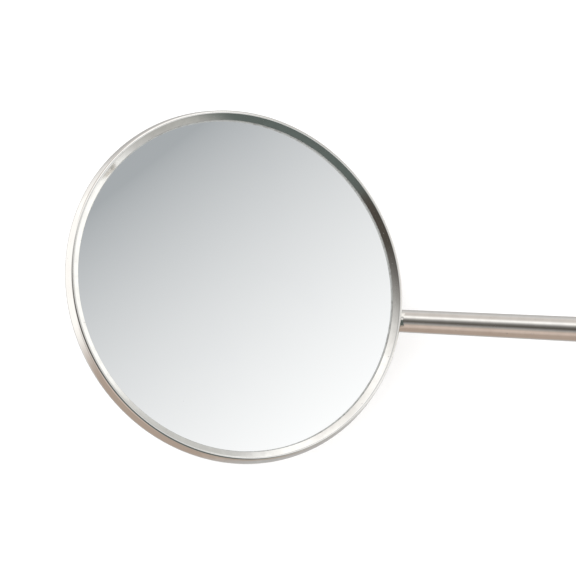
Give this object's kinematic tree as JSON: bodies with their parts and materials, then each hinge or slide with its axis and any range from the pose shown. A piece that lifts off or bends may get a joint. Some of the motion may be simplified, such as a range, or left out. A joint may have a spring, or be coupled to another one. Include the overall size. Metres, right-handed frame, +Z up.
{
  "type": "mouth mirror",
  "caption": "Round plane dental mirror in a crimped steel cup, on a slender tapered stem that screws into a hollow octagonal steel handle with grip grooves.",
  "frame": {"origin": "centre of the bottom of the bounding box, on the surface that the handle lies on", "axes": "+X along the handle and stem towards the mirror, +Z up out of the reflecting side, Y across the mirror; XZ is the plane of symmetry"},
  "size_m": [0.17, 0.024, 0.0168],
  "materials": {
    "cup_steel": "polished stainless steel",
    "glass": "float glass",
    "mirror_coat": "front-surface reflective coat",
    "pad": "matt",
    "cement": "matt",
    "stem_steel": "drawn and polished stainless steel",
    "weld": "ground weld metal",
    "turned_steel": "turned stainless steel",
    "handle_steel": "satin stainless steel",
    "washer": "white fluoropolymer"
  },
  "bodies": {
    "handle": {"handle_nose": "turned_steel", "handle_tube": "handle_steel", "end_plug": "turned_steel"},
    "washer": {"sealing_washer": "washer"},
    "head": {"mirror_cup": "cup_steel", "mirror_glass": "glass", "reflective_coat": "mirror_coat", "cushion_pad": "pad", "lip_seal": "cement", "stem": "stem_steel", "root_weld": "weld", "thread_ferrule": "turned_steel", "braze_fillet": "weld"}
  },
  "joints": [
    {"name": "stem_advance", "type": "slide", "parent": "handle", "child": "washer", "axis": [1, 0, 0], "range_m": [0, 0.0054]},
    {"name": "stem_turn", "type": "hinge", "parent": "washer", "child": "head", "pos_m": [0.02697, 0, 0.003], "axis": [1, 0, 0], "range_deg": [0, 4320]}
  ],
  "couplings": [
    {"joint": "stem_turn", "follows": "stem_advance", "rad_per_m": 13963}
  ]
}
